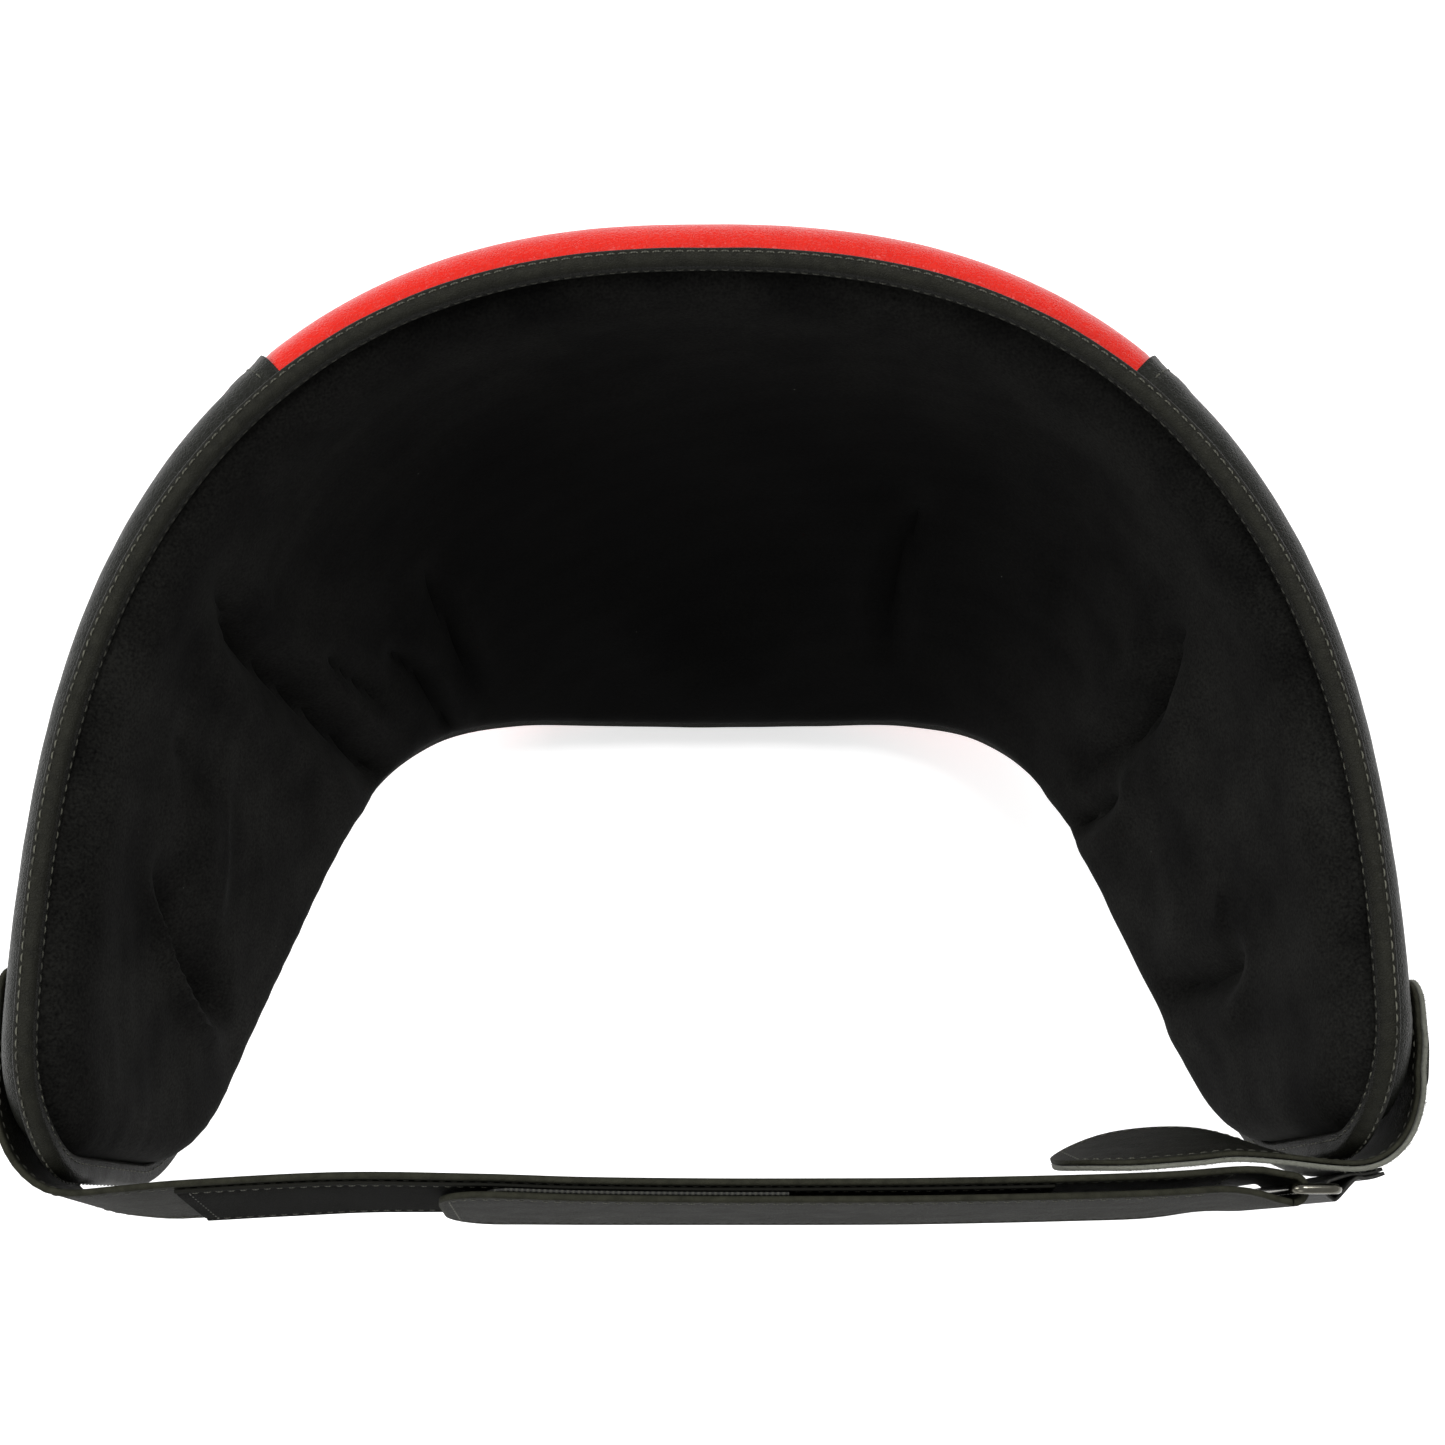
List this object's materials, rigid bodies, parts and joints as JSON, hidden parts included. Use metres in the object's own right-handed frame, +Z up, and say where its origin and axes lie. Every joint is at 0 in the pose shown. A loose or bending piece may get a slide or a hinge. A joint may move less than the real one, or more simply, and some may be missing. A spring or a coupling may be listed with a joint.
{
  "type": "groin protector",
  "caption": "Padded groin protector that wraps the belly and hips, with a cup inside its tongue and a ring-and-strap fastening across the back.",
  "frame": {"origin": "centre of the waist opening, level with the middle of the bound top edge", "axes": "+Z up the wearer's body, -Y to the wearer's front, +X to the wearer's left"},
  "size_m": [0.4137, 0.3025, 0.2435],
  "materials": {
    "red_leather": "smooth, glossy",
    "black_leather": "grained, satin",
    "lining_fabric": "matt, short nap",
    "firm_foam": "closed-cell foam",
    "soft_foam": "open-cell foam",
    "cup_plastic": "moulded",
    "trim_rubber": "matt",
    "strap_leather": "satin",
    "loop_tape": "pile",
    "hook_tape": "hooked",
    "felt": "brushed",
    "webbing": "woven",
    "steel": "polished"
  },
  "bodies": {
    "pad": {"belly_cover": "red_leather", "groin_cover": "red_leather", "left_side_cover": "black_leather", "right_side_cover": "black_leather", "inner_lining": "lining_fabric", "edge_binding": "black_leather", "belly_foam": "firm_foam", "groin_foam": "firm_foam", "left_hip_foam": "firm_foam", "right_hip_foam": "firm_foam", "comfort_foam": "soft_foam", "groin_cup": "cup_plastic", "cup_edge_trim": "trim_rubber", "waist_strap": "strap_leather", "loop_tape": "loop_tape", "left_strap_patch": "black_leather", "flap_leather": "strap_leather", "flap_felt": "felt", "right_flap_patch": "black_leather", "ring_keeper": "webbing"},
    "tail": {"strap_tail": "strap_leather", "hook_tape": "hook_tape"},
    "ring": {"buckle_ring": "steel"},
    "flap_end": {"flap_end_leather": "strap_leather", "flap_end_felt": "felt"}
  },
  "joints": [
    {"name": "tail_peel", "type": "hinge", "parent": "pad", "child": "tail", "pos_m": [-0.1642, 0.135, -0.043], "axis": [0, 0, 1], "range_deg": [0, 150]},
    {"name": "ring_swing", "type": "hinge", "parent": "pad", "child": "ring", "pos_m": [-0.1767, 0.1302, -0.043], "axis": [0, 0, 1], "range_deg": [-5, 5]},
    {"name": "flap_lift", "type": "hinge", "parent": "pad", "child": "flap_end", "pos_m": [-0.14928, 0.11749, -0.04281], "axis": [-0.0223, -0.1198, -0.9925], "range_deg": [0, 45]}
  ]
}
